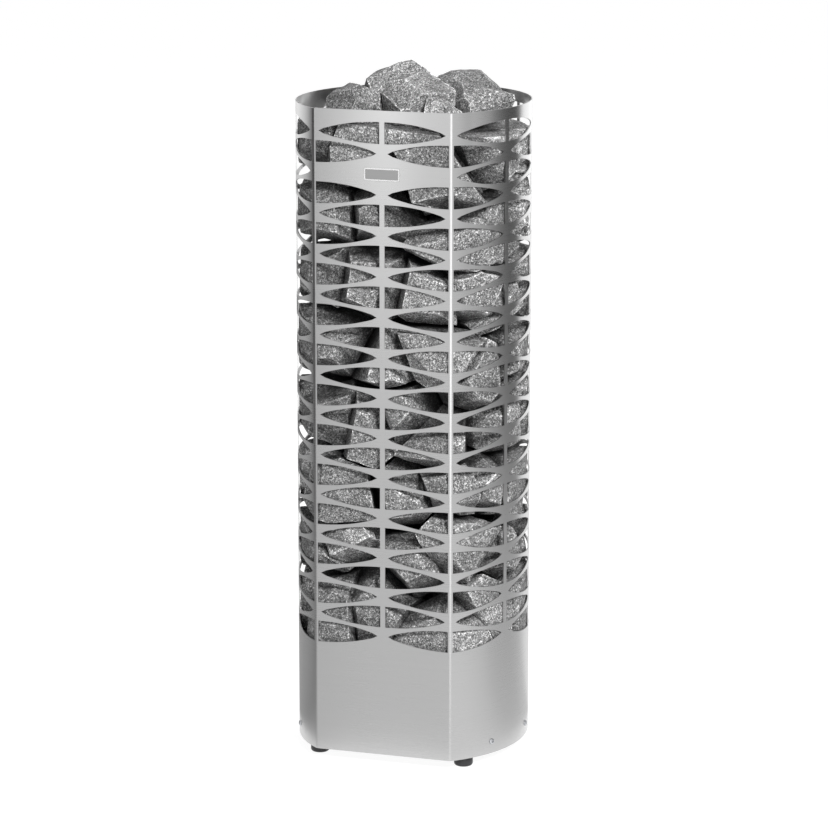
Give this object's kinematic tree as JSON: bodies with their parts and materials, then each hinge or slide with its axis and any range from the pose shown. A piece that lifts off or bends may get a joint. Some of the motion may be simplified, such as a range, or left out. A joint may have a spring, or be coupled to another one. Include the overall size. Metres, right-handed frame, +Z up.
{
  "type": "sauna heater stove",
  "caption": "Free-standing tower sauna heater: perforated D-section steel casing filled with stones round electric heating elements, on levelling feet.",
  "frame": {"origin": "on the floor under the centre of the casing's section", "axes": "+Z up, flat front facing -Y, +X to the right of someone who looks at the front"},
  "size_m": [0.3316, 0.3227, 0.9865],
  "materials": {
    "brushed_steel": "satin brushed stainless",
    "fastener": "plain domed screw heads",
    "dark_steel": "dark smooth sheet",
    "zinc_steel": "zinc plated",
    "element_steel": "heat-darkened tube",
    "brass": "plain",
    "black_plastic": "moulded black",
    "ceramic": "unglazed",
    "lead_sleeve": "heat-proof sleeve",
    "stone": "broken rough rock"
  },
  "bodies": {
    "heater": {"badge_plate": "brushed_steel", "base_tray": "dark_steel", "cable_gland": "black_plastic", "casing": "brushed_steel", "casing_screw_1": "brushed_steel", "casing_screw_2": "brushed_steel", "casing_screw_3": "brushed_steel", "casing_screw_4": "brushed_steel", "casing_screw_5": "brushed_steel", "casing_screw_6": "brushed_steel", "element_nut_1a": "brass", "element_nut_1b": "brass", "element_nut_2a": "brass", "element_nut_2b": "brass", "element_nut_3a": "brass", "element_nut_3b": "brass", "floor_post_1": "zinc_steel", "floor_post_2": "zinc_steel", "floor_post_3": "zinc_steel", "floor_post_4": "zinc_steel", "gland_nut": "black_plastic", "heat_shield": "zinc_steel", "heating_element_1": "element_steel", "heating_element_2": "element_steel", "heating_element_3": "element_steel", "star_link": "brass", "stone_course_1": "stone", "stone_course_2": "stone", "stone_course_3": "stone", "stone_course_4": "stone", "stone_course_5": "stone", "stone_course_6": "stone", "stone_course_7": "stone", "stone_course_8": "stone", "stone_floor": "dark_steel", "supply_lead_1": "lead_sleeve", "supply_lead_2": "lead_sleeve", "supply_lead_3": "lead_sleeve", "terminal_block": "ceramic", "terminal_bracket": "zinc_steel", "top_stone_back_left": "stone", "top_stone_back_right": "stone", "top_stone_front": "stone", "top_stone_left": "stone", "top_stone_middle": "stone", "top_stone_right": "stone", "top_stone_small": "stone", "weld_nut_front_left": "zinc_steel", "weld_nut_front_right": "zinc_steel", "weld_nut_rear_left": "zinc_steel", "weld_nut_rear_right": "zinc_steel"},
    "glide_front_left": {"foot_glide_front_left": "black_plastic"},
    "stud_front_left": {"foot_stud_front_left": "zinc_steel"},
    "glide_front_right": {"foot_glide_front_right": "black_plastic"},
    "stud_front_right": {"foot_stud_front_right": "zinc_steel"},
    "glide_rear_left": {"foot_glide_rear_left": "black_plastic"},
    "stud_rear_left": {"foot_stud_rear_left": "zinc_steel"},
    "glide_rear_right": {"foot_glide_rear_right": "black_plastic"},
    "stud_rear_right": {"foot_stud_rear_right": "zinc_steel"}
  },
  "joints": [
    {"name": "level_front_left", "type": "slide", "parent": "heater", "child": "glide_front_left", "axis": [0, 0, -1], "range_m": [0, 0.018]},
    {"name": "screw_front_left", "type": "hinge", "parent": "glide_front_left", "child": "stud_front_left", "pos_m": [-0.10804, -0.12269, 0.02], "axis": [0, 0, -1], "range_deg": [0, 5200]},
    {"name": "level_front_right", "type": "slide", "parent": "heater", "child": "glide_front_right", "axis": [0, 0, -1], "range_m": [0, 0.018]},
    {"name": "screw_front_right", "type": "hinge", "parent": "glide_front_right", "child": "stud_front_right", "pos_m": [0.10804, -0.12269, 0.02], "axis": [0, 0, -1], "range_deg": [0, 5200]},
    {"name": "level_rear_left", "type": "slide", "parent": "heater", "child": "glide_rear_left", "axis": [0, 0, -1], "range_m": [0, 0.018]},
    {"name": "screw_rear_left", "type": "hinge", "parent": "glide_rear_left", "child": "stud_rear_left", "pos_m": [-0.0921, 0.10669, 0.02], "axis": [0, 0, -1], "range_deg": [0, 5200]},
    {"name": "level_rear_right", "type": "slide", "parent": "heater", "child": "glide_rear_right", "axis": [0, 0, -1], "range_m": [0, 0.018]},
    {"name": "screw_rear_right", "type": "hinge", "parent": "glide_rear_right", "child": "stud_rear_right", "pos_m": [0.0921, 0.10669, 0.02], "axis": [0, 0, -1], "range_deg": [0, 5200]}
  ],
  "couplings": [
    {"joint": "screw_front_left", "follows": "level_front_left", "rad_per_m": 5026.5},
    {"joint": "screw_front_right", "follows": "level_front_right", "rad_per_m": 5026.5},
    {"joint": "screw_rear_left", "follows": "level_rear_left", "rad_per_m": 5026.5},
    {"joint": "screw_rear_right", "follows": "level_rear_right", "rad_per_m": 5026.5}
  ]
}
